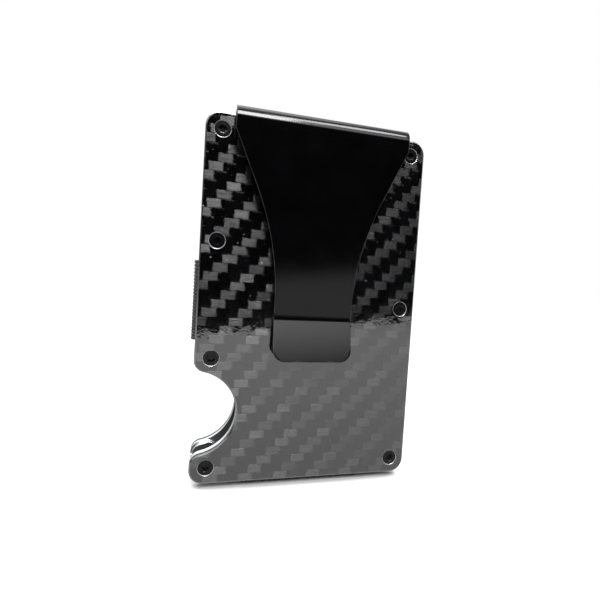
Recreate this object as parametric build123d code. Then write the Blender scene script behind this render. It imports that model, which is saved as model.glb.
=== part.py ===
from build123d import *
import os
from math import asin, atan2, cos, hypot, radians, sin, tan

os.makedirs("parts", exist_ok=True)

# Card wallet with a money clip, standing on its bottom strap.
# X runs across the width, Y from the clip side (front) to the back, Z up.
# The origin is the centre of the whole object's box, on the surface it stands on.
# Millimetres throughout.

# Corners closer together than this count as one place
same_place = 0.01

# Plates: two halves, each a cover over a milled liner, sized for standard cards
plate_width = 54.0
plate_height = 86.0
plate_corner_radius = 3.3
cover_thickness = 1.2
liner_thickness = 2.1
card_gap = 4.2
cover_edge_chamfer = 0.3
card_lead_in = 0.5

# Thumb notch through the long left edge, near the bottom
notch_height = 16.7
notch_depth = 10.1
notch_radius = 9.95
notch_blend_radius = 2.8
notch_relief_width = 3.0
notch_relief_depth = 1.1
screw_boss_radius = 3.4

# Countersunk screws, four down the left side and three down the right
screw_inset = 3.8
screw_above_strap = 4.55
screw_below_strap = 3.75
screw_head_diameter = 3.6
screw_head_recess = 0.15
screw_thread_diameter = 2.0
screw_length = 2.8

# Elastic straps: a closed loop over both short edges and a strap over the left edge
strap_thickness = 0.9
strap_bend_share = 0.95
strap_side_clearance = 0.2
loop_width = 29.4
loop_stand_off = 0.45
side_strap_width = 18.5
side_strap_stand_off = 0.1
channel_wall = 2.9
rib_width = 1.8
rib_length = 12.0
rib_from_end = 3.0
rib_clearance = 0.1

# Money clip: one bent sheet, hooked between the front cover and its liner
clip_thickness = 0.8
clip_screw_gap = 0.9
clip_reach = 5.0
clip_top_gap = 0.3
clip_front_bend_radius = 2.0
clip_rear_bend_radius = 0.65
clip_crease_drop = 46.5
clip_crease_gap = 0.8
clip_crease_radius = 3.0
clip_flare_length = 9.7
clip_flare_angle = 16.0
blade_width = 19.0
blade_shoulder_drop = 4.4
blade_shoulder_arc = 66.0
blade_shoulder_angle = 24.0
blade_shoulder_radius = 2.0
blade_tip_radius = 2.8
blade_joint_drop = 0.4
blade_joint_gap = 0.02
tab_strap_gap = 1.2
tab_length = 13.0
tab_foot_width = 2.2
tab_foot_height = 3.0
tab_clearance = 0.1
clip_overlap_on_cover = 0.6

# Places that follow from the sizes above
side_strap_proud = side_strap_stand_off + strap_thickness
loop_proud = loop_stand_off + strap_thickness
centre_x = side_strap_proud / 2
left_x = centre_x - plate_width / 2
right_x = centre_x + plate_width / 2
half_thickness = cover_thickness + liner_thickness
total_depth = clip_reach + 2 * half_thickness + card_gap
face_y = clip_reach - total_depth / 2
seam_y = face_y + cover_thickness
liner_inner_y = seam_y + liner_thickness
middle_y = liner_inner_y + card_gap / 2
bottom_z = loop_proud
top_z = bottom_z + plate_height
middle_z = bottom_z + plate_height / 2
notch_z = bottom_z + notch_height
middle_plane = Plane.XZ.offset(-middle_y)
pocket_half_height = side_strap_width / 2 + strap_side_clearance
side_strap_grip = (plate_width - loop_width) / 2 - 2 * strap_side_clearance - channel_wall
clip_width = plate_width - 2 * (screw_inset + screw_head_diameter / 2 + clip_screw_gap)
crease_z = top_z - clip_crease_drop
tip_z = crease_z - clip_flare_length

screw_places = [
    (left_x + screw_inset, bottom_z + screw_inset),
    (left_x + screw_inset, middle_z - pocket_half_height - screw_below_strap),
    (left_x + screw_inset, middle_z + pocket_half_height + screw_above_strap),
    (left_x + screw_inset, top_z - screw_inset),
    (right_x - screw_inset, bottom_z + screw_inset),
    (right_x - screw_inset, middle_z),
    (right_x - screw_inset, top_z - screw_inset),
]


def slab(sketch, y_from, y_to):
    """Front-view sketch (X across, Z up) made solid between two depths."""
    return extrude(Plane.XZ.offset(-y_from) * sketch, y_to - y_from, dir=(0, 1, 0))


def strip(sketch, width, x_middle):
    """Side-view sketch (Y across, Z up) made solid to a width about x_middle."""
    return extrude(Plane.YZ.offset(x_middle) * sketch, width / 2, both=True)


def to_back(solid):
    """The same piece in the back half, mirrored through the card gap."""
    return mirror(solid, middle_plane)


def corners_at(sketch, x, z):
    """The sketch's corners at one place."""
    return [corner for corner in sketch.vertices() if hypot(corner.X - x, corner.Y - z) < same_place]


def notch_outline(growth=0.0):
    """The round thumb notch, or the same notch grown by a margin."""
    centre = left_x + notch_depth - notch_radius
    return Pos(centre, notch_z) * Circle(notch_radius + growth)


def plate_outline():
    """Rounded plate with the thumb notch, whose mouth is blended to the edge."""
    outline = Pos(centre_x, middle_z) * RectangleRounded(
        plate_width, plate_height, plate_corner_radius
    )
    outline -= notch_outline()
    mouth = [
        corner
        for corner in outline.vertices()
        if abs(corner.X - left_x) < same_place and abs(corner.Y - notch_z) < notch_radius + same_place
    ]
    return fillet(mouth, notch_blend_radius)


def screw(recess=0.0):
    """Countersunk screw about its own axis, head at y = 0, shank towards +Y.

    Its cone meets the shank at the cover's inner face. With a recess, the cone runs on out to
    the cover's face at the same slope, as the hole's does.
    """
    head = screw_head_diameter / 2
    shank = screw_thread_diameter / 2
    cone_depth = cover_thickness - screw_head_recess
    mouth = head + recess * (head - shank) / cone_depth
    half_section = Polyline(
        (0, -recess),
        (mouth, -recess),
        (shank, cone_depth),
        (shank, screw_length),
        (0, screw_length),
        close=True,
    )
    return revolve(make_face(half_section), Axis.Y)


def cover():
    """Flat laminate cover with a chamfered outline and countersunk holes."""
    body = slab(plate_outline(), face_y, seam_y)
    body = chamfer(body.faces().sort_by(Axis.Y)[0].edges(), cover_edge_chamfer)
    for x, z in screw_places:
        body -= Pos(x, face_y + screw_head_recess, z) * screw(screw_head_recess)
    return body


def side_strap_outline(clearance=0.0):
    """Front view of the side strap's hidden end, or of the pocket that takes it."""
    depth = side_strap_grip + clearance
    return Pos(left_x + depth / 2, middle_z) * Rectangle(depth, side_strap_width + 2 * clearance)


def rib_outline(clearance=0.0):
    """Front view of the rib that holds a side strap's end, or of the slot in the strap."""
    rib = Rectangle(rib_width + 2 * clearance, rib_length + 2 * clearance)
    return Pos(left_x + side_strap_grip - rib_from_end, middle_z) * rib


def liner():
    """Milled liner: strap channels in its outer face and threaded screw holes."""
    body = slab(plate_outline(), seam_y, liner_inner_y)
    inner_face = body.faces().sort_by(Axis.Y)[-1]
    entry_edge = inner_face.edges().sort_by(Axis.X)[-1]
    body = chamfer(entry_edge, card_lead_in)
    floor_y = seam_y + strap_thickness
    channel = Pos(centre_x, middle_z) * Rectangle(loop_width + 2 * strap_side_clearance, plate_height)
    body -= slab(channel, seam_y, floor_y)
    body -= slab(side_strap_outline(strap_side_clearance), seam_y, floor_y)
    body += slab(rib_outline(), seam_y, floor_y)
    for x, z in screw_places:
        thread = Pos(x, liner_inner_y, z) * Rot(X=-90) * Cylinder(
            screw_thread_diameter / 2, 2 * liner_thickness
        )
        body -= thread
    return body


def tab_outline(side, clearance=0.0):
    """Front view of one hook tab of the clip, on the left (-1) or right (+1)."""
    inner = loop_width / 2 + tab_strap_gap - clearance
    outer = clip_width / 2 + clearance
    foot_top = top_z - tab_length + tab_foot_height + clearance
    foot_bottom = top_z - tab_length - clearance
    leg = Pos(centre_x + side * (inner + outer) / 2, (foot_bottom + top_z) / 2) * Rectangle(
        outer - inner, top_z - foot_bottom
    )
    foot = Pos(
        centre_x + side * (inner + outer + tab_foot_width) / 2, (foot_bottom + foot_top) / 2
    ) * Rectangle(outer - inner + tab_foot_width, foot_top - foot_bottom)
    return leg + foot


def front_liner():
    """Liner of the clip side, with pockets for the clip's two hook tabs."""
    body = liner()
    for side in (-1, 1):
        body -= slab(tab_outline(side, tab_clearance), seam_y, seam_y + clip_thickness)
    return body


def back_liner():
    """Back liner, relieved on its card side along the thumb notch."""
    inner_y = liner_inner_y + card_gap
    relief = notch_outline(notch_relief_width)
    for x, z in screw_places[:2]:
        relief -= Pos(x, z) * Circle(screw_boss_radius)
    return to_back(liner()) - slab(relief, inner_y, inner_y + notch_relief_depth)


def loop_run():
    """The loop's flat run between a cover and its liner, from edge to edge."""
    run = Pos(centre_x, middle_z) * Rectangle(loop_width, plate_height)
    return slab(run, seam_y, seam_y + strap_thickness)


def side_strap_end():
    """The side strap's hidden end, slotted to sit over the liner's rib."""
    end = side_strap_outline() - rib_outline(rib_clearance)
    return slab(end, seam_y, seam_y + strap_thickness)


def strap_path(stand_off):
    """Middle line of a strap bridging the halves: depth, and height out of the plates."""
    rise = stand_off + strap_thickness / 2
    near = seam_y + strap_thickness / 2
    far = 2 * middle_y - near
    bend = strap_bend_share * rise
    return FilletPolyline((near, 0), (near, rise), (far, rise), (far, 0), radius=bend)


def loop_span():
    """The loop's bridge over the plates' top edge."""
    section = trace(strap_path(loop_stand_off), strap_thickness)
    return strip(Pos(0, top_z) * section, loop_width, centre_x)


def side_span():
    """The side strap's bridge past the plates' left edge."""
    section = Rot(Z=90) * trace(strap_path(side_strap_stand_off), strap_thickness)
    section = Plane.XY.offset(middle_z) * Pos(left_x, 0) * section
    return extrude(section, side_strap_width / 2, both=True)


def clip_path():
    """Middle line of the clip's sheet in side view, from hook tab to flared tip."""
    half = clip_thickness / 2
    ridge = top_z + clip_top_gap + half
    bend_y = face_y - clip_reach + half + clip_front_bend_radius
    bend_z = ridge - clip_front_bend_radius
    crease = (face_y - clip_crease_gap - half, crease_z)
    run, drop = crease[0] - bend_y, bend_z - crease[1]
    lean = atan2(run, drop) + asin(clip_front_bend_radius / hypot(run, drop))
    corner = (crease[0] - (ridge - crease[1]) * tan(lean), ridge)
    tip = (crease[0] - clip_flare_length * tan(radians(clip_flare_angle)), tip_z)
    tab = seam_y + half
    return FilletPolyline(
        (tab, top_z - tab_length),
        (tab, ridge),
        corner,
        crease,
        tip,
        radius=[clip_rear_bend_radius, clip_front_bend_radius, clip_crease_radius],
    )


def blade_outline():
    """Front view of the clip: square shoulders drawn in to a narrow blade."""
    wide, narrow = clip_width / 2, blade_width / 2
    angle = radians(blade_shoulder_angle)
    shoulder_z = top_z - blade_shoulder_drop
    arc_x = narrow + blade_shoulder_arc * (1 - cos(angle))
    arc_z = shoulder_z - (wide - arc_x) / tan(angle)
    waist_z = arc_z - blade_shoulder_arc * sin(angle)
    ridge_z = top_z + clip_top_gap + clip_thickness
    arc = RadiusArc((narrow, waist_z), (arc_x, arc_z), -blade_shoulder_arc)
    lower = Polyline((0, tip_z), (narrow, tip_z), (narrow, waist_z))
    upper = Polyline((arc_x, arc_z), (wide, shoulder_z), (wide, ridge_z), (0, ridge_z))
    closing = Line((0, ridge_z), (0, tip_z))
    half = make_face([lower, arc, upper, closing])
    half = fillet(corners_at(half, wide, shoulder_z), blade_shoulder_radius)
    half = fillet(corners_at(half, narrow, tip_z), blade_tip_radius)
    return Pos(centre_x, 0) * (half + mirror(half, Plane.YZ))


blade_joint_z = top_z + clip_top_gap + clip_thickness / 2 - clip_front_bend_radius - blade_joint_drop


def clip_sheet():
    """The whole bent sheet at full width, before its outline is cut."""
    return strip(trace(clip_path(), clip_thickness), clip_width, centre_x)


def clip_blade():
    """The clip's springing front leg, below the joint line."""
    outline = slab(blade_outline(), face_y - 2 * clip_reach, face_y)
    above = Pos(centre_x, face_y, blade_joint_z - blade_joint_gap) * Box(
        2 * plate_width, 4 * clip_reach, plate_height, align=(Align.CENTER, Align.CENTER, Align.MIN)
    )
    return (clip_sheet() & outline) - above


def clip_bridge():
    """The clip's hooks and top bend, open in the middle to clear the loop."""
    above = Pos(centre_x, face_y, blade_joint_z) * Box(
        2 * plate_width, 4 * clip_reach, plate_height, align=(Align.CENTER, Align.CENTER, Align.MIN)
    )
    behind = Pos(centre_x, face_y, top_z - plate_height / 2) * Box(
        2 * plate_width, 4 * clip_reach, 2 * plate_height, align=(Align.CENTER, Align.MIN, Align.CENTER)
    )
    sheet = clip_sheet()
    bridge = (sheet & above) + (sheet & behind)
    opening_width = loop_width + 2 * tab_strap_gap
    opening = Pos(centre_x, face_y + clip_overlap_on_cover, middle_z) * Box(
        opening_width, total_depth, 2 * plate_height, align=(Align.CENTER, Align.MIN, Align.CENTER)
    )
    bridge -= opening
    for side in (-1, 1):
        foot = tab_outline(side) & Pos(centre_x, top_z - tab_length + tab_foot_height / 2) * Rectangle(
            2 * plate_width, tab_foot_height
        )
        bridge += slab(foot, seam_y, seam_y + clip_thickness)
    return bridge


def screws(depth_of_head, flip):
    """The seven screws of one half, as separate solids."""
    turned = Rot(Z=180) if flip else Rot()
    return Compound([Pos(x, depth_of_head, z) * turned * screw() for x, z in screw_places])


nodes = {
    "front_cover": cover(),
    "front_liner": front_liner(),
    "front_screws": screws(face_y + screw_head_recess, False),
    "back_cover": to_back(cover()),
    "back_liner": back_liner(),
    "back_screws": screws(2 * middle_y - face_y - screw_head_recess, True),
    "loop_strap_front_run": loop_run(),
    "loop_strap_back_run": to_back(loop_run()),
    "loop_strap_top_span": loop_span(),
    "loop_strap_bottom_span": mirror(loop_span(), Plane.XY.offset(middle_z)),
    "side_strap_front_end": side_strap_end(),
    "side_strap_back_end": to_back(side_strap_end()),
    "side_strap_span": side_span(),
    "clip_bridge": clip_bridge(),
    "clip_blade": clip_blade(),
}

for name, piece in nodes.items():
    export_step(piece, f"parts/{name}.step")

whole = Compound([solid for piece in nodes.values() for solid in piece.solids()]).bounding_box()
blade_top = nodes["clip_blade"].faces().sort_by(Axis.Z)[-1].vertices().sort_by(Axis.Y)[0]
print("whole box", whole.min, whole.max)
print("plate edges", left_x, right_x, bottom_z, top_z)
print("depths", face_y, seam_y, liner_inner_y, 2 * middle_y - liner_inner_y, 2 * middle_y - face_y)
print("clip joint line", blade_top.Y, blade_joint_z)
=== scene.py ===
from math import asin, atan2, ceil, cos, hypot, pi, radians, sin, tan

import bmesh
import bpy
from mathutils import Euler, Matrix, Vector


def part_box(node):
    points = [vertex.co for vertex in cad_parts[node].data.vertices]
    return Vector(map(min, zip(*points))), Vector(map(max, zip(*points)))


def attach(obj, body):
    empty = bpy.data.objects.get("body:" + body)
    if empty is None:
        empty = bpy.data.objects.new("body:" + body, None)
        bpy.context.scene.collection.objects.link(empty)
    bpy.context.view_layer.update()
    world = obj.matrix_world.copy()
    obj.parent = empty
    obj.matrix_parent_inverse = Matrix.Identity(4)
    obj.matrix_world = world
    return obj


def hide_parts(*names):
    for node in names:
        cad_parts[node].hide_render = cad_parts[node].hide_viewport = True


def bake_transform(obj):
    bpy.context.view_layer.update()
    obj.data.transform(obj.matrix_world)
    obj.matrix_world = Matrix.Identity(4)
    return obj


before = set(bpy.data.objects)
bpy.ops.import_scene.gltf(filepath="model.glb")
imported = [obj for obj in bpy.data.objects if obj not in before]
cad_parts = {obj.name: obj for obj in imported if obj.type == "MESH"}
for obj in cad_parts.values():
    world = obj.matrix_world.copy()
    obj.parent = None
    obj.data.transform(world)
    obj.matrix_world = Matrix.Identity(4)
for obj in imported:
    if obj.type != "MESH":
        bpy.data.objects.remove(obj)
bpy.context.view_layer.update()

MM = 0.001

# ---------------------------------------------------------------- sizes, in millimetres
# The plates' own corner is the cover's lower left front corner; everything is set out from it.
cover_low, cover_high = (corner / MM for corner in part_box("front_cover"))
back_low, back_high = (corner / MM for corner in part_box("back_cover"))
left, right = cover_low.x, cover_high.x
bottom, top = cover_low.z, cover_high.z
centre = (left + right) / 2
middle = (bottom + top) / 2
face, seam = cover_low.y, cover_high.y
back_seam, back_face = back_low.y, back_high.y
cover_ease, liner_ease = 0.03, 0.07

# Clip
clip_thickness = 0.8
clip_width = 41.0
clip_reach = 5.0
clip_top_gap = 0.3
clip_front_bend = 2.4
clip_rear_bend = 0.65
crease_drop = 46.5
crease_gap = 0.8
crease_bend = 2.6
crease_ease_height = 1.15
crease_ease_angle = -1.0
crease_ease_bend = 13.0
flare_length = 9.7
flare_angle = 16.0
blade_width = 19.0
shoulder_drop = 4.4
shoulder_arc = 66.0
shoulder_angle = 24.0
shoulder_round = 2.0
tip_round = 2.8
opening_width = 31.8
opening_from_face = 0.6
tab_length = 13.0
foot_width = 2.2
foot_height = 3.0
sheet_edge_round = 0.11

# Straps
strap_thickness = 0.9
loop_width = 29.4
loop_stand_off = 0.45
side_strap_width = 18.5
side_stand_off = 0.1
cord_spacing = 0.8
cord_thickness = 0.86
yarn_turn = 0.45
hidden_end = 0.3

# Screws
screw_inset = 3.8
screw_head = 3.68
screw_recess = 0.09
screw_rim = 0.04
screw_shank_radius = 1.0
screw_cone_depth = 1.11
screw_length = 2.75
socket_radius = 0.86
socket_mouth = 1.02
socket_depth = 0.9
countersink_reach = 2.2
screw_places = [
    (left + screw_inset, bottom + screw_inset),
    (left + screw_inset, middle - 13.2),
    (left + screw_inset, middle + 14.0),
    (left + screw_inset, top - screw_inset),
    (right - screw_inset, bottom + screw_inset),
    (right - screw_inset, middle),
    (right - screw_inset, top - screw_inset),
]


# ---------------------------------------------------------------- small helpers
def colour(hex_code):
    """sRGB hex code to the linear colour a shader takes."""
    shares = [int(hex_code[i:i + 2], 16) / 255 for i in (1, 3, 5)]
    return tuple(s / 12.92 if s <= 0.04045 else ((s + 0.055) / 1.055) ** 2.4 for s in shares) + (1.0,)


def add(tree, kind, inputs=None, **settings):
    """One node in a tree, with its settings, and its inputs set or linked."""
    made = tree.nodes.new(kind)
    for name, value in settings.items():
        setattr(made, name, value)
    for key, value in (inputs or {}).items():
        if isinstance(value, bpy.types.NodeSocket):
            tree.links.new(value, made.inputs[key])
        else:
            made.inputs[key].default_value = value
    return made


def sums(tree, first, *steps):
    """A run of Math nodes, each an operation on the result so far and one more value."""
    result = first
    for operation, value in steps:
        inputs = {0: result} if value is None else {0: result, 1: value}
        result = add(tree, "ShaderNodeMath", inputs, operation=operation).outputs[0]
    return result


def noise(tree, place, scale, detail):
    """Soft noise about a place, from 0 to 1."""
    return add(tree, "ShaderNodeTexNoise", {"Vector": place, "Scale": scale, "Detail": detail}).outputs["Fac"]


def spread(tree, value, least, most, from_least=0.0, from_most=1.0, curve="LINEAR"):
    """A value's range, from its least to its most, laid onto another range."""
    return add(tree, "ShaderNodeMapRange", {
        "Value": value, "From Min": from_least, "From Max": from_most, "To Min": least, "To Max": most,
    }, interpolation_type=curve).outputs[0]


def shaded(tree, share, dark, light, first=0.0, last=1.0):
    """A colour between two hex codes, by a share that runs from first to last."""
    ramp = add(tree, "ShaderNodeValToRGB", {"Fac": share})
    for stop, position, hex_code in zip(ramp.color_ramp.elements, (first, last), (dark, light)):
        stop.position, stop.color = position, colour(hex_code)
    return ramp.outputs[0]


def raised(tree, height, distance, strength):
    """A bump of that height in millimetres."""
    return add(tree, "ShaderNodeBump", {
        "Height": height, "Distance": distance * MM, "Strength": strength}).outputs[0]


def finish_material(name):
    """An empty node material and its tree, object coordinates and Principled shader."""
    material = bpy.data.materials.new(name)
    material.use_nodes = True
    tree = material.node_tree
    shader = tree.nodes["Principled BSDF"]
    place = add(tree, "ShaderNodeTexCoord").outputs["Object"]
    return material, tree, shader, place


def feed(tree, shader, **sources):
    """Node outputs linked to the shader's sockets."""
    for name, source in sources.items():
        tree.links.new(source, shader.inputs[name.replace("_", " ").title()])


def settle(shader, **values):
    """Plain numbers and colours straight on the shader's own sockets."""
    for name, value in values.items():
        shader.inputs[name.replace("_", " ").title().replace("Ior", "IOR")].default_value = value


def piece(name, mesh, material, smooth_below=35.0):
    """A finished mesh as an object in the scene, smooth except at its sharp edges."""
    made = bpy.data.objects.new(name, mesh)
    bpy.context.scene.collection.objects.link(made)
    for each in material if isinstance(material, (list, tuple)) else [material]:
        mesh.materials.append(each)
    mesh.shade_smooth()
    mesh.set_sharp_from_angle(angle=radians(smooth_below))
    return made


def settled_mesh(made):
    """The object's modifiers worked into a plain mesh of its own."""
    bpy.context.view_layer.update()
    graph = bpy.context.evaluated_depsgraph_get()
    mesh = bpy.data.meshes.new_from_object(made.evaluated_get(graph), depsgraph=graph)
    made.modifiers.clear()
    made.data = mesh
    return made


def rounded(points, radii, step=12.0):
    """A flat line with round corners: an arc of each radius at each inner point."""
    line = [Vector(points[0])]
    for before, corner, after, radius in zip(points, points[1:], points[2:], radii):
        corner = Vector(corner)
        back, on = (Vector(before) - corner).normalized(), (Vector(after) - corner).normalized()
        half = back.angle(on) / 2
        reach = radius / tan(half)
        hub = corner + (back + on).normalized() * radius / sin(half)
        first, last = corner + back * reach - hub, corner + on * reach - hub
        turn = pi - 2 * half
        side = 1 if first.x * last.y - first.y * last.x > 0 else -1
        count = max(3, ceil(turn / radians(step)))
        for i in range(count + 1):
            angle = side * turn * i / count
            line.append(hub + Matrix.Rotation(angle, 2) @ first)
    line.append(Vector(points[-1]))
    return line


# ---------------------------------------------------------------- materials
def carbon_laminate():
    """Carbon fibre laminate: 2x2 twill of flat tows 2.08 mm wide in epoxy, under a clear coat.

    Every filament throws light in a fan square to its run, so the tows lying across catch the
    softbox and read grey while the upright ones stay near black. The even coat lays one clean
    reflection over both.
    """
    tow = 2.08 * MM
    weave_corner = (left + 5.1, bottom + 51.86)
    strand_across, strand_along = 4.2 / MM, 0.3 / MM
    float_middle, float_half = 0.43, 0.45
    material, tree, shader, place = finish_material("carbon_fibre_twill_clear_coated")
    set_out = add(tree, "ShaderNodeMapping", {
        "Vector": place,
        "Location": (-weave_corner[0] * MM / tow, 0, -weave_corner[1] * MM / tow),
        "Scale": (1 / tow, 1 / MM, 1 / tow),
    }).outputs[0]
    axes = add(tree, "ShaderNodeSeparateXYZ", {0: set_out}).outputs
    across, up = axes["X"], axes["Z"]
    column = sums(tree, across, ("FLOOR", None))
    row = sums(tree, up, ("FLOOR", None))

    # Weft floats: two tows long, each row stepping one tow aside
    along_weft = sums(tree, across, ("SUBTRACT", row), ("FLOORED_MODULO", 4.0), ("DIVIDE", 2.0))
    over_weft = sums(tree, up, ("SUBTRACT", row))
    weft_number = sums(tree, across, ("SUBTRACT", row), ("DIVIDE", 4.0), ("FLOOR", None))
    # Warp floats: the same, upright
    along_warp = sums(tree, up, ("SUBTRACT", column), ("SUBTRACT", 1.0), ("FLOORED_MODULO", 4.0),
                      ("DIVIDE", 2.0))
    over_warp = sums(tree, across, ("SUBTRACT", column))
    warp_number = sums(tree, up, ("SUBTRACT", column), ("SUBTRACT", 1.0), ("DIVIDE", 4.0),
                       ("FLOOR", None))

    # Filaments lie in strands about 0.25 mm wide, drawn coarser than the real 7 microns
    def strands(scale):
        return noise(tree, add(tree, "ShaderNodeMapping", {"Vector": place, "Scale": scale}).outputs[0],
                     1.0, 4.0)

    weft_lines = strands((strand_along, 1 / MM, strand_across))
    warp_lines = strands((strand_across, 1 / MM, strand_along))

    # Hand-laid tows wander: a slow wobble of their edges, and each float its own tone and size
    def own_tone(number, line):
        seed = add(tree, "ShaderNodeCombineXYZ", {0: number, 1: line}).outputs[0]
        return add(tree, "ShaderNodeTexWhiteNoise", {"Vector": seed}).outputs["Value"]

    weft_tone, warp_tone = own_tone(weft_number, row), own_tone(warp_number, column)
    frayed = sums(tree, weft_lines, ("SUBTRACT", 0.5), ("MULTIPLY", 0.22))
    wander = sums(tree, noise(tree, set_out, 1.3, 2.0), ("SUBTRACT", 0.5), ("MULTIPLY", 0.3))
    shrunk = sums(tree, weft_tone, ("MULTIPLY", 0.05))
    reach = sums(tree, along_weft, ("ADD", wander), ("SUBTRACT", float_middle), ("ABSOLUTE", None),
                 ("ADD", shrunk), ("ADD", frayed))
    height = sums(tree, over_weft, ("ADD", wander), ("SUBTRACT", 0.5), ("ABSOLUTE", None),
                  ("ADD", shrunk))
    in_reach = spread(tree, reach, 0.0, 1.0, float_half, float_half - 0.03, "SMOOTHSTEP")
    in_height = spread(tree, height, 0.0, 1.0, 0.53, 0.48, "SMOOTHSTEP")
    weft = sums(tree, in_reach, ("MULTIPLY", in_height))

    def by_tow(warp_value, weft_value):
        return add(tree, "ShaderNodeMix", {"Factor": weft, 2: warp_value, 3: weft_value}).outputs[0]

    weft_shade = sums(tree, weft_lines, ("MULTIPLY", 0.9), ("ADD", weft_tone), ("MULTIPLY", 0.55))
    warp_shade = sums(tree, warp_lines, ("ADD", warp_tone), ("MULTIPLY", 0.5))
    # The cross tows' base colour is painted a little lighter than the upright tows': a painted sheen standing
    # in for the light the cross tows catch.
    weave_colour_with_painted_sheen = add(tree, "ShaderNodeMix", {
        "Factor": weft,
        6: shaded(tree, warp_shade, "#010101", "#060607"),
        7: shaded(tree, weft_shade, "#050506", "#101011", 0.1, 0.9),
    }, data_type="RGBA").outputs[2]

    # Each strand glints by its own share, and so does each float
    def glint(lines, tone, least, most):
        return sums(tree, tone, ("MULTIPLY", 0.62), ("ADD", 0.4),
                    ("MULTIPLY", spread(tree, lines, least, most, 0.32, 0.66)))

    glints = by_tow(glint(warp_lines, warp_tone, 0.0, 0.5), glint(weft_lines, weft_tone, 0.35, 1.0))
    tint = add(tree, "ShaderNodeCombineColor", {0: glints, 1: glints, 2: glints}).outputs[0]

    # Each float lies flat under the coat and dips only at its ends and sides
    def dips(along, middle, half, over):
        end = sums(tree, along, ("SUBTRACT", middle), ("ABSOLUTE", None), ("DIVIDE", half),
                   ("MINIMUM", 1.0), ("POWER", 8.0))
        return sums(tree, over, ("SUBTRACT", 0.5), ("MULTIPLY", 2.0), ("POWER", 8.0),
                    ("MULTIPLY", 0.4), ("ADD", end), ("MULTIPLY", -1.0))

    relief = by_tow(dips(along_warp, 0.5, 0.5, over_warp),
                    dips(along_weft, float_middle, float_half, over_weft))
    surface = sums(tree, by_tow(warp_lines, weft_lines), ("MULTIPLY", 0.2), ("ADD", relief))
    fan = add(tree, "ShaderNodeCombineXYZ", {
        0: sums(tree, 1.0, ("SUBTRACT", weft)), 2: weft}).outputs[0]

    # The coat lies nearly flat, with a slow ripple and here and there a pinhole
    holes = spread(tree, noise(tree, place, 1.4 / MM, 2.0), 0.0, 2.0, 0.72, 0.78)
    coat = sums(tree, noise(tree, place, 0.45 / MM, 3.0), ("SUBTRACT", holes))
    feed(tree, shader, base_color=weave_colour_with_painted_sheen, specular_tint=tint, normal=raised(tree, surface, 0.06, 1.0),
         tangent=fan, coat_normal=raised(tree, coat, 0.025, 1.0))
    settle(shader, roughness=0.34, ior=1.5, anisotropic=1.0, coat_weight=1.0, coat_roughness=0.04,
           coat_ior=1.95)
    return material


def routed_laminate_wall():
    """The laminate's cut wall, bare of coat: dull near black, its plies faint lines 0.25 mm apart."""
    material, tree, shader, place = finish_material("carbon_fibre_routed_wall")
    depth = add(tree, "ShaderNodeSeparateXYZ", {0: place}).outputs["Y"]
    plies = sums(tree, depth, ("MULTIPLY", 2 * pi / (0.25 * MM)), ("SINE", None), ("MULTIPLY", 0.4),
                 ("ADD", 0.5))
    feed(tree, shader, base_color=shaded(tree, plies, "#08080a", "#1d1d1f"))
    settle(shader, roughness=0.55, ior=1.45, specular_ior_level=0.3)
    return material


def polished_laminate_chamfer():
    """The cover's chamfer: fibres cut across and rubbed smooth, so it glints like graphite."""
    material, tree, shader, place = finish_material("carbon_fibre_polished_chamfer")
    nicks = noise(tree, place, 1.6 / MM, 4.0)
    feed(tree, shader, base_color=shaded(tree, nicks, "#060607", "#141416"),
         roughness=spread(tree, nicks, 0.14, 0.3))
    settle(shader, ior=3.2)
    return material


def countersink_with_painted_highlight():
    """The countersink's bare cone: cut fibre ends, dull, as a thin ring; its pale grey is partly the fibres'
    own and partly a painted highlight.
    """
    material, tree, shader, place = finish_material("carbon_countersink_painted_highlight")
    feed(tree, shader, base_color=shaded(tree, noise(tree, place, 2.2 / MM, 4.0), "#565658", "#b4b4b6"))
    settle(shader, roughness=0.5, ior=1.6)
    return material


def milled_aluminium():
    """Milled 6061 aluminium, clear anodised, its walls: bright satin metal with cutter lines."""
    material, tree, shader, place = finish_material("milled_aluminium_bright_wall")
    stretched = add(tree, "ShaderNodeMapping", {
        "Vector": place, "Scale": (9 / MM, 0.7 / MM, 9 / MM)}).outputs[0]
    cutter_lines = noise(tree, stretched, 1.0, 2.0)
    feed(tree, shader,
         base_color=shaded(tree, noise(tree, place, 0.35 / MM, 3.0), "#cbccce", "#e3e4e5"),
         roughness=spread(tree, cutter_lines, 0.18, 0.34),
         normal=raised(tree, cutter_lines, 0.01, 0.5))
    settle(shader, metallic=1.0)
    return material


def blasted_face_with_painted_shade():
    """The same aluminium's flat faces, bead blasted and anodised, dull and finely pitted; their mid grey is
    darker than the metal's own, painted shade for faces that lie inside between the halves.
    """
    material, tree, shader, place = finish_material("aluminium_face_painted_shade")
    pits = add(tree, "ShaderNodeTexVoronoi", {"Vector": place, "Scale": 7 / MM}).outputs["Distance"]
    feed(tree, shader,
         base_color=shaded(tree, noise(tree, place, 0.3 / MM, 4.0), "#3e3f40", "#525354"),
         normal=raised(tree, pits, 0.02, 0.5))
    settle(shader, metallic=1.0, roughness=0.5)
    return material


def black_screw_steel():
    """Black oxide on alloy steel: near black, mottled, with a dull oily glint."""
    material, tree, shader, place = finish_material("black_oxide_screw_steel")
    mottle = noise(tree, place, 3 / MM, 3.0)
    feed(tree, shader, base_color=shaded(tree, mottle, "#030304", "#09090a"),
         roughness=spread(tree, mottle, 0.1, 0.18), normal=raised(tree, mottle, 0.006, 0.5))
    settle(shader, ior=1.5, specular_ior_level=0.25)
    return material


def coated_spring_steel():
    """Spring steel under a thin baked black coat: satin, nearly black, faintly pebbled."""
    material, tree, shader, place = finish_material("spring_steel_satin_black_coat")
    flow = noise(tree, place, 0.22 / MM, 2.0)
    feed(tree, shader, base_color=shaded(tree, flow, "#010101", "#040405"),
         roughness=spread(tree, flow, 0.1, 0.13),
         normal=raised(tree, noise(tree, place, 4 / MM, 3.0), 0.005, 0.8))
    settle(shader, ior=1.5, specular_ior_level=0.25)
    return material


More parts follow.
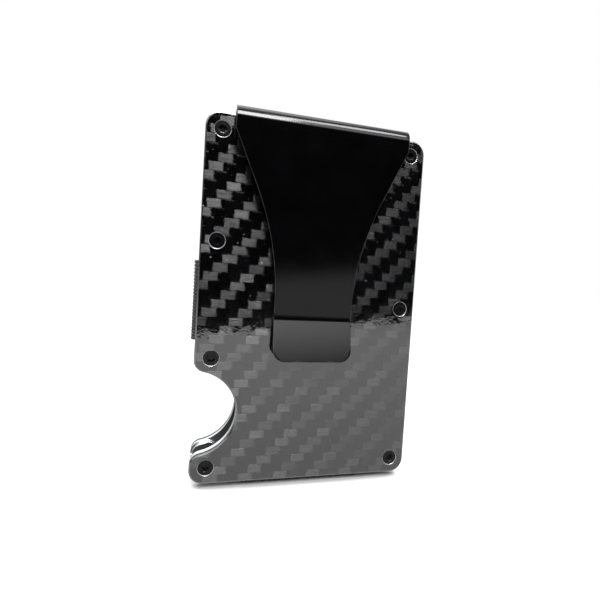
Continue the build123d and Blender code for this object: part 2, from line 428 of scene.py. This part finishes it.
def rubbed_sheet_edge():
    """The same coat where the blanked edge has been rubbed: grey steel showing in patches."""
    material, tree, shader, place = finish_material("spring_steel_rubbed_edge")
    rub = noise(tree, place, 0.5 / MM, 5.0)
    bare = spread(tree, rub, 0.0, 1.0, 0.42, 0.62)
    feed(tree, shader, base_color=shaded(tree, bare, "#040405", "#343537"),
         metallic=sums(tree, bare, ("MULTIPLY", 0.5)), roughness=spread(tree, rub, 0.28, 0.42))
    return material


def elastic_webbing():
    """Woven elastic: covered rubber cords side by side in black polyester yarn.

    The yarn wraps each cord aslant, dull, with a faint fuzz at the rims.
    """
    material, tree, shader, place = finish_material("woven_black_elastic")
    along = add(tree, "ShaderNodeAttribute", attribute_name="along").outputs["Fac"]
    around = add(tree, "ShaderNodeAttribute", attribute_name="around").outputs["Fac"]
    slant = sums(tree, around, ("MULTIPLY", 2.0 * MM), ("ADD", along))
    yarn = sums(tree, slant, ("MULTIPLY", 2 * pi / (0.15 * MM)), ("SINE", None), ("MULTIPLY", 0.5),
                ("ADD", 0.5))
    fuzz = sums(tree, noise(tree, place, 6 / MM, 4.0), ("MULTIPLY", 0.6))
    shade = sums(tree, yarn, ("MULTIPLY", 0.4), ("ADD", fuzz))
    feed(tree, shader, base_color=shaded(tree, shade, "#08080a", "#2c2c2f", 0.2, 0.85),
         normal=raised(tree, shade, 0.04, 0.7))
    settle(shader, roughness=0.85, sheen_weight=0.25, sheen_roughness=0.5)
    return material


carbon = carbon_laminate()
carbon_wall = routed_laminate_wall()
carbon_chamfer = polished_laminate_chamfer()
rim_with_painted_highlight = countersink_with_painted_highlight()
bright_aluminium = milled_aluminium()
painted_shade_aluminium = blasted_face_with_painted_shade()
screw_steel = black_screw_steel()
clip_coat = coated_spring_steel()
clip_edge = rubbed_sheet_edge()
elastic = elastic_webbing()


# ---------------------------------------------------------------- plates
def finished_mesh(name, mesh):
    """A worked mesh as a mesh that an object can carry."""
    made = bpy.data.meshes.new(name)
    mesh.to_mesh(made)
    mesh.free()
    return made


def ease_edges(made, width, segments, sharper_than, eased_as):
    """The edges sharper than an angle rounded over, with a finish of their own."""
    edge = made.modifiers.new("eased_edges", "BEVEL")
    edge.width, edge.segments, edge.limit_method = width * MM, segments, "ANGLE"
    edge.angle_limit, edge.material, edge.use_clamp_overlap = radians(sharper_than), eased_as, False
    made.modifiers.new("shading", "WEIGHTED_NORMAL").keep_sharp = True


def eased_plate(node, name, finishes, finish_of, ease, eased_as):
    """A plate cut as its CAD node, its faces finished by kind and its sharp edges eased."""
    mesh = bmesh.new()
    mesh.from_mesh(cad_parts[node].data)
    bmesh.ops.remove_doubles(mesh, verts=mesh.verts, dist=0.002 * MM)
    bmesh.ops.dissolve_limit(mesh, angle_limit=radians(0.3), verts=mesh.verts, edges=mesh.edges)
    for wall in mesh.faces:
        wall.material_index = finish_of(wall)
    plate = piece(name, finished_mesh(name, mesh), finishes)
    ease_edges(plate, ease, 2, 32, eased_as)
    settled_mesh(plate)
    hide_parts(node)
    return plate


def cover_finish(wall):
    """Flat 0, cut wall 1, chamfer 2, countersink 3."""
    facing = abs(wall.normal.y)
    if facing > 0.95:
        return 0
    spot = wall.calc_center_median() / MM
    if any(hypot(spot.x - x, spot.z - z) < countersink_reach for x, z in screw_places):
        return 3
    return 1 if facing < 0.35 else 2


def liner_finish(wall):
    """Flat 0, milled wall 1."""
    return 0 if abs(wall.normal.y) > 0.95 else 1


cover_finishes = [carbon, carbon_wall, carbon_chamfer, rim_with_painted_highlight]
liner_finishes = [painted_shade_aluminium, bright_aluminium]
for half in ("front", "back"):
    cover = eased_plate(f"{half}_cover", f"{half}_laminate_cover", cover_finishes, cover_finish,
                        cover_ease, 2)
    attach(cover, f"{half}_half")
    liner = eased_plate(f"{half}_liner", f"{half}_milled_liner", liner_finishes, liner_finish,
                        liner_ease, 1)
    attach(liner, f"{half}_half")


# The straps' hidden parts keep their CAD shape and take the elastic's look
for hidden in ("loop_strap_front_run", "loop_strap_back_run", "side_strap_front_end",
               "side_strap_back_end"):
    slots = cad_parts[hidden].data.materials
    for i in range(len(slots)):
        slots[i] = elastic


# ---------------------------------------------------------------- clip
def clip_side_line():
    """The sheet's middle line in side view (depth, height), from the tip over the top to the tabs."""
    half = clip_thickness / 2
    ridge = top + clip_top_gap + half
    bend_y = face - clip_reach + half + clip_front_bend
    bend_z = ridge - clip_front_bend
    crease = (face - crease_gap - half, top - crease_drop)
    ease = (crease[0] - crease_ease_height * tan(radians(crease_ease_angle)),
            crease[1] + crease_ease_height)
    run, drop = ease[0] - bend_y, bend_z - ease[1]
    lean = atan2(run, drop) + asin(clip_front_bend / hypot(run, drop))
    corner = (ease[0] - (ridge - ease[1]) * tan(lean), ridge)
    tip = (crease[0] - flare_length * tan(radians(flare_angle)), crease[1] - flare_length)
    tab = seam + half
    return rounded(
        [tip, crease, ease, corner, (tab, ridge), (tab, top - tab_length)],
        [crease_bend, crease_ease_bend, clip_front_bend, clip_rear_bend], step=6.0,
    )


def clip_outline():
    """Half of the blade's front view (half width, height), from the tip up to the shoulder."""
    wide, narrow = clip_width / 2, blade_width / 2
    tip, shoulder = top - crease_drop - flare_length, top - shoulder_drop
    angle = radians(shoulder_angle)
    arc_x = narrow + shoulder_arc * (1 - cos(angle))
    arc_z = shoulder - (wide - arc_x) / tan(angle)
    waist = arc_z - shoulder_arc * sin(angle)
    line = rounded([(0, tip), (narrow, tip), (narrow, waist)], [tip_round], step=9.0)[1:]
    for i in range(1, 13):
        turn = angle * i / 12
        line.append(Vector((narrow + shoulder_arc * (1 - cos(turn)), waist + shoulder_arc * sin(turn))))
    line += rounded([(arc_x, arc_z), (wide, shoulder), (wide, top)], [shoulder_round], step=4.0)[1:]
    return line


def between(line, place, given, wanted):
    """Where a line passes a place: one coordinate from the other."""
    for a, b in zip(line, line[1:]):
        if a[given] <= place <= b[given] and b[given] > a[given]:
            return a[wanted] + (b[wanted] - a[wanted]) * (place - a[given]) / (b[given] - a[given])
    return line[-1][wanted]


def make_clip():
    """One bent sheet: leg, flared tip, top bend and two hook tabs with feet."""
    row_step, hair = 1.4, 0.001
    side, outline = clip_side_line(), clip_outline()
    highest = max(range(len(side)), key=lambda i: side[i].y)
    ridge = side[highest].y
    leg = [p for p in side[:highest] if p.y < ridge - clip_front_bend]
    leg_top = leg[-1].y
    heights = sorted({round(p.y, 4) for p in leg} | {round(p.y, 4) for p in outline[:-1]}
                     | {round(outline[0].y + row_step * i, 4) for i in range(2, 38)})
    heights = [h for i, h in enumerate(heights) if i == 0 or h - heights[i - 1] > 0.02]
    rows = [(between(side[:highest + 1], h, 1, 0), h, between(outline, h, 1, 0))
            for h in heights if h <= leg_top + hair]
    # Over the top the sheet keeps its full width, and beyond the opening only the tabs go on
    wide, stop = clip_width / 2, face + opening_from_face
    rows += [(p.x, p.y, wide) for p in side[len(leg):] if p.x < stop - 0.05 and p.y > leg_top]
    rows.append((stop, ridge, wide))
    foot_bottom = top - tab_length
    foot_top = foot_bottom + foot_height
    tabs = [(p.x, p.y) for p in side if p.x > stop + 0.05 and p.y > foot_top + 0.05]
    tabs += [(side[-1].x, z) for z in (foot_top, (foot_top + foot_bottom) / 2, foot_bottom)]

    inner = opening_width / 2 / wide
    tab_shares = [inner + (1 - inner) * i / 4 for i in range(5)]
    shares = [-s for s in reversed(tab_shares)] + [inner * i / 8 for i in range(-7, 8)] + tab_shares
    mesh = bmesh.new()

    def point(x, y, z):
        return mesh.verts.new(Vector((centre + x, y, z)) * MM)

    def skin(lower, upper):
        for a, b, c, d in zip(lower, lower[1:], upper[1:], upper):
            mesh.faces.new((a, b, c, d))

    grid = [[point(s * w, y, z) for s in shares] for y, z, w in rows]
    for lower, upper in zip(grid, grid[1:]):
        skin(lower, upper)
    for sign in (-1, 1):
        last = grid[-1][:5] if sign < 0 else grid[-1][-5:]
        spread_out = [sign * s * wide for s in (reversed(tab_shares) if sign < 0 else tab_shares)]
        feet = []
        for y, z in tabs:
            row = [point(x, y, z) for x in spread_out]
            skin(last, row)
            last = row
            if z <= foot_top + hair:
                feet.append([row[0] if sign < 0 else row[-1]]
                            + [point(sign * (wide + foot_width * i / 2), y, z) for i in (1, 2)])
        for lower, upper in zip(feet, feet[1:]):
            skin(lower, upper)
    bmesh.ops.recalc_face_normals(mesh, faces=mesh.faces)
    clip = piece("money_clip", finished_mesh("money_clip", mesh), [clip_coat, clip_edge])
    wall = clip.modifiers.new("sheet", "SOLIDIFY")
    wall.thickness, wall.offset, wall.use_even_offset = clip_thickness * MM, 0.0, True
    ease_edges(clip, sheet_edge_round, 3, 40, 1)
    return settled_mesh(clip)


clip = make_clip()
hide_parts("clip_bridge", "clip_blade")
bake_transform(clip)


# ---------------------------------------------------------------- straps
def new_tree(name, inputs):
    """An empty geometry node tree with its named inputs, and what they hand on."""
    tree = bpy.data.node_groups.new(name, "GeometryNodeTree")
    for label, kind in {"Geometry": "Geometry", **inputs, "Finish": "Material"}.items():
        tree.interface.new_socket(label, in_out="INPUT", socket_type=f"NodeSocket{kind}")
    tree.interface.new_socket("Geometry", in_out="OUTPUT", socket_type="NodeSocketGeometry")
    return tree, add(tree, "NodeGroupInput").outputs


def hand_over(tree, made, finish):
    """The tree's end: what it made, realised and dressed, handed out."""
    solid = add(tree, "GeometryNodeRealizeInstances", {0: made}).outputs[0]
    dressed = add(tree, "GeometryNodeSetMaterial", {"Geometry": solid, "Material": finish}).outputs[0]
    add(tree, "NodeGroupOutput", {0: dressed})
    return tree


def elastic_tree():
    """Geometry nodes: a path swept by cords side by side, each swelling at every yarn turn."""
    floats = ("Cord Spacing", "Width", "Thickness", "Turn Length", "Swell", "Step", "Bend Radius")
    tree, given = new_tree("elastic_cords", {**{name: "Float" for name in floats}, "Across": "Vector"})
    count = sums(tree, given["Width"], ("DIVIDE", given["Cord Spacing"]), ("ROUND", None))
    pitch = sums(tree, given["Width"], ("DIVIDE", count))

    def marked(geometry, name, value):
        return add(tree, "GeometryNodeStoreNamedAttribute", {
            "Geometry": geometry, "Name": name, "Value": value}, data_type="FLOAT", domain="POINT").outputs[0]

    def mark(name):
        return add(tree, "GeometryNodeInputNamedAttribute", {"Name": name}, data_type="FLOAT").outputs[0]

    def sideways(length):
        return add(tree, "ShaderNodeVectorMath", {0: given["Across"], "Scale": length},
                   operation="SCALE").outputs[0]

    path = add(tree, "GeometryNodeMeshToCurve", {0: given["Geometry"]}).outputs[0]
    bent = add(tree, "GeometryNodeFilletCurve", {
        "Curve": path, "Radius": given["Bend Radius"], "Count": 8, "Limit Radius": True},
        mode="POLY").outputs[0]
    fine = add(tree, "GeometryNodeResampleCurve", {"Curve": bent, "Length": given["Step"]},
               mode="LENGTH").outputs[0]
    measured = marked(fine, "along", add(tree, "GeometryNodeSplineParameter").outputs["Length"])

    line = add(tree, "GeometryNodeMeshLine", {"Count": count, "Offset": sideways(pitch)},
               mode="OFFSET").outputs[0]
    first = sums(tree, count, ("SUBTRACT", 1.0), ("MULTIPLY", pitch), ("MULTIPLY", -0.5))
    centred = add(tree, "GeometryNodeSetPosition", {"Geometry": line, "Offset": sideways(first)}).outputs[0]
    numbered = marked(centred, "cord", add(tree, "GeometryNodeInputIndex").outputs[0])
    cords = add(tree, "GeometryNodeInstanceOnPoints", {"Points": numbered, "Instance": measured}).outputs[0]
    cords = add(tree, "GeometryNodeRealizeInstances", {0: cords}).outputs[0]

    slim = sums(tree, 1.0, ("SUBTRACT", given["Swell"]))
    wave = sums(tree, mark("along"), ("DIVIDE", given["Turn Length"]), ("MULTIPLY", 2 * pi),
                ("ADD", sums(tree, mark("cord"), ("MULTIPLY", pi))), ("SINE", None),
                ("MULTIPLY", given["Swell"]), ("ADD", slim))
    ring = add(tree, "GeometryNodeCurvePrimitiveCircle", {
        "Resolution": 10, "Radius": sums(tree, given["Thickness"], ("MULTIPLY", 0.5))},
        mode="RADIUS").outputs[0]
    ring = marked(ring, "around", add(tree, "GeometryNodeSplineParameter").outputs["Factor"])
    tubes = add(tree, "GeometryNodeCurveToMesh", {
        "Curve": cords, "Profile Curve": ring, "Scale": wave, "Fill Caps": True}).outputs[0]
    return hand_over(tree, tubes, given["Finish"])


def by_nodes(name, mesh, tree, material, sizes, smooth_below=35.0):
    """An object made by a geometry node tree on a mesh, with its named inputs, as a plain mesh."""
    made = bpy.data.objects.new(name, mesh)
    bpy.context.scene.collection.objects.link(made)
    maker = made.modifiers.new("maker", "NODES")
    maker.node_group = tree
    sizes = dict(sizes, Finish=material)
    for item in tree.interface.items_tree:
        if item.item_type == "SOCKET" and item.in_out == "INPUT" and item.name in sizes:
            maker[item.identifier] = sizes[item.name]
    settled_mesh(made)
    made.data.shade_smooth()
    made.data.set_sharp_from_angle(angle=radians(smooth_below))
    return made


def path_mesh(name, points):
    """A mesh of edges only, for a tree to sweep along."""
    mesh = bpy.data.meshes.new(name)
    mesh.from_pydata([Vector(p) * MM for p in points], [(i, i + 1) for i in range(len(points) - 1)], [])
    return mesh


elastic_cords = elastic_tree()


def strap_span(name, node, corners, across, width, rise):
    """One strap's bridge from half to half, over an edge of the plates."""
    made = by_nodes(name, path_mesh(name, corners), elastic_cords, elastic, {
        "Across": across, "Width": width * MM, "Thickness": cord_thickness * MM,
        "Cord Spacing": cord_spacing * MM, "Turn Length": yarn_turn * MM, "Swell": 0.09,
        "Step": 0.075 * MM, "Bend Radius": 0.9 * rise * MM})
    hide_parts(node)
    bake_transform(made)
    return made


strap_front = seam + strap_thickness / 2
strap_back = back_seam - strap_thickness / 2
loop_rise = loop_stand_off + strap_thickness / 2
side_rise = side_stand_off + strap_thickness / 2
for name, edge, way in (("top", top, 1), ("bottom", bottom, -1)):
    strap_span(f"elastic_loop_{name}", f"loop_strap_{name}_span", [
        (centre, strap_front, edge - way * hidden_end), (centre, strap_front, edge + way * loop_rise),
        (centre, strap_back, edge + way * loop_rise), (centre, strap_back, edge - way * hidden_end),
    ], (1, 0, 0), loop_width, loop_rise)
strap_span("elastic_side", "side_strap_span", [
    (left + hidden_end, strap_front, middle), (left - side_rise, strap_front, middle),
    (left - side_rise, strap_back, middle), (left + hidden_end, strap_back, middle),
], (0, 0, 1), side_strap_width, side_rise)


# ---------------------------------------------------------------- screws
def round_of_points(radius, lobe=0.0, sides=36):
    """Points round a circle, or round a six-lobe socket whose lobes are that share deep."""
    turns = [2 * pi * i / sides for i in range(sides)]
    reaches = [radius * (1 - lobe + lobe * cos(6 * turn)) for turn in turns]
    return [(reach * cos(turn), reach * sin(turn)) for reach, turn in zip(reaches, turns)]


def one_screw():
    """One countersunk screw about +Z, its head's face at the origin."""
    head, rim, lobe = screw_head / 2, screw_rim, 0.13
    stations = [
        (socket_radius, lobe, socket_depth), (socket_radius + 0.04, lobe, 0.08),
        (socket_mouth - 0.06, 0, 0.06), (socket_mouth, 0, 0), (head - rim, 0, 0),
        (head - rim * 0.3, 0, rim * 0.3), (head, 0, rim), (screw_shank_radius, 0, screw_cone_depth),
        (screw_shank_radius, 0, screw_length),
    ]
    mesh = bmesh.new()
    loops = [[mesh.verts.new(Vector((x, y, -depth)) * MM) for x, y in round_of_points(radius, lobes)]
             for radius, lobes, depth in stations]
    for upper, lower in zip(loops, loops[1:]):
        for a, b, c, d in zip(upper, lower, lower[1:] + lower[:1], upper[1:] + upper[:1]):
            mesh.faces.new((a, b, c, d))
    mesh.faces.new(loops[0])
    mesh.faces.new(loops[-1])
    bmesh.ops.recalc_face_normals(mesh, faces=mesh.faces)
    return finished_mesh("screw_master", mesh)


def screws_tree():
    """Geometry nodes: the screw at each place, turned at random about its own axis."""
    tree, given = new_tree("screws_at_places", {"Screw": "Object", "Tilt": "Vector", "Seed": "Int"})
    screw = add(tree, "GeometryNodeObjectInfo", {"Object": given["Screw"]}).outputs["Geometry"]
    put = add(tree, "GeometryNodeInstanceOnPoints", {
        "Points": given["Geometry"], "Instance": screw, "Rotation": given["Tilt"]}).outputs[0]
    spin = add(tree, "FunctionNodeRandomValue", {"Max": pi / 3, "Seed": given["Seed"]}, data_type="FLOAT")
    about = add(tree, "ShaderNodeCombineXYZ", {2: spin.outputs[1]}).outputs[0]
    turned = add(tree, "GeometryNodeRotateInstances", {
        "Instances": put, "Rotation": about, "Local Space": True}).outputs[0]
    return hand_over(tree, turned, given["Finish"])


screw_master = bpy.data.objects.new("screw_master", one_screw())
seated = screws_tree()
for half, y, tilt in (("front", face + screw_recess, pi / 2), ("back", back_face - screw_recess, -pi / 2)):
    places = bpy.data.meshes.new(f"{half}_screw_places")
    places.from_pydata([Vector((x, y, z)) * MM for x, z in screw_places], [], [])
    screws = by_nodes(f"{half}_socket_screws", places, seated, screw_steel, {
        "Screw": screw_master, "Tilt": (tilt, 0.0, 0.0), "Seed": 3 if half == "front" else 8}, 16.0)
    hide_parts(f"{half}_screws")
    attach(screws, f"{half}_half")
bpy.data.objects.remove(screw_master)


# ---------------------------------------------------------------- floor, light and camera
def white_floor():
    """A white card for the object to stand on, its near edge cut aslant in front of it."""
    near, nearer, turn, far, wide = -0.247, -0.98, -0.03, 1.4, 1.2
    mesh = bpy.data.meshes.new("white_card")
    mesh.from_pydata([(-wide, near, 0), (turn, near, 0), (wide, nearer, 0), (wide, far, 0),
                      (-wide, far, 0)], [], [(0, 1, 2, 3, 4)])
    floor = bpy.data.objects.new("white_card", mesh)
    bpy.context.scene.collection.objects.link(floor)
    material, tree, shader, place = finish_material("white_card")
    # The card is plain white but for the thin shadow where something all but touches it
    close = add(tree, "ShaderNodeAmbientOcclusion", {"Distance": 6 * MM}, samples=16).outputs["AO"]
    seen = add(tree, "ShaderNodeLightPath").outputs
    looked_at = sums(tree, seen["Is Camera Ray"], ("MAXIMUM", seen["Is Transmission Ray"]),
                     ("MULTIPLY", spread(tree, close, 0.0, 0.95, 0.5, 0.79)))
    lit = sums(tree, seen["Is Glossy Ray"], ("MULTIPLY", 0.16), ("ADD", looked_at))
    feed(tree, shader, base_color=shaded(tree, noise(tree, place, 2 / MM, 2.0), "#8a8a8a", "#929292"),
         emission_strength=lit)
    settle(shader, roughness=0.9, emission_color=(1, 1, 1, 1))
    mesh.materials.append(material)


def studio_air():
    """The world: white to look at and in reflections, soft grey as light, with the dark room
    in front showing low in the gloss."""
    world = bpy.data.worlds.new("studio")
    bpy.context.scene.world = world
    world.use_nodes = True
    tree = world.node_tree
    seen = add(tree, "ShaderNodeLightPath").outputs
    way = add(tree, "ShaderNodeSeparateXYZ", {
        0: add(tree, "ShaderNodeTexCoord").outputs["Generated"]}).outputs
    around = spread(tree, way["Y"], 0.0, 1.0, 0.1, 0.35, "SMOOTHSTEP")
    above = spread(tree, way["Z"], 0.0, 1.0, 0.31, 0.35, "SMOOTHSTEP")
    ahead = spread(tree, way["Y"], 0.0, 1.0, -0.6, -0.8)
    spill = sums(tree, spread(tree, way["Z"], 0.0, 4.6, 0.31, 0.44), ("MULTIPLY", ahead))
    shine = sums(tree, around, ("MULTIPLY", 1.4), ("MAXIMUM", above), ("ADD", spill),
                 ("MULTIPLY", seen["Is Glossy Ray"]))
    soft = sums(tree, 1.0, ("SUBTRACT", seen["Is Glossy Ray"]), ("MULTIPLY", 0.32))
    clear = sums(tree, seen["Is Camera Ray"], ("MAXIMUM", seen["Is Transmission Ray"]))
    strength = add(tree, "ShaderNodeMix", {
        "Factor": clear, 2: sums(tree, shine, ("ADD", soft)), 3: 1.0}).outputs[0]
    sky = tree.nodes["Background"]
    tree.links.new(strength, sky.inputs["Strength"])
    sky.inputs["Color"].default_value = (1, 1, 1, 1)


def soft_lamp(name, place, aim, width, height, brightness):
    """A softbox: a lamp of that width and height turned to its aim, as bright as so many whites."""
    lamp = bpy.data.lights.new(name, "AREA")
    lamp.shape = "RECTANGLE"
    lamp.size, lamp.size_y = width, height
    lamp.energy = brightness * pi * width * height
    made = bpy.data.objects.new(name, lamp)
    bpy.context.scene.collection.objects.link(made)
    made.location = place
    made.rotation_euler = (Vector(aim) - Vector(place)).to_track_quat("-Z", "Y").to_euler()


white_floor()
studio_air()
soft_lamp("key_softbox", (-0.02, -0.43, 0.45), (0, 0, 0.05), 0.2, 0.28, 38.0)
soft_lamp("side_softbox", (0.16, -0.3, 0.56), (0, 0, 0.05), 0.2, 0.18, 22.0)
soft_lamp("overhead_softbox", (-0.1, 0.12, 0.7), (0, 0, 0.05), 0.5, 0.5, 2.5)

camera_data = bpy.data.cameras.new("camera")
camera = bpy.data.objects.new("camera", camera_data)
bpy.context.scene.collection.objects.link(camera)
bpy.context.scene.camera = camera
camera.location = Vector((left + 2.9, face - 105.4, bottom + 51.7)) * MM
camera.rotation_euler = (
    Euler((radians(90 - 2.625), 0, radians(-16.08)), "XYZ").to_matrix()
    @ Matrix.Rotation(radians(3.714), 3, "Z")
).to_euler()
camera_data.lens = 26.56
camera_data.sensor_width = 36.0
camera_data.shift_x, camera_data.shift_y = -0.0633, -0.0137
camera_data.clip_start = 0.005

bpy.context.scene.view_settings.view_transform = "Standard"
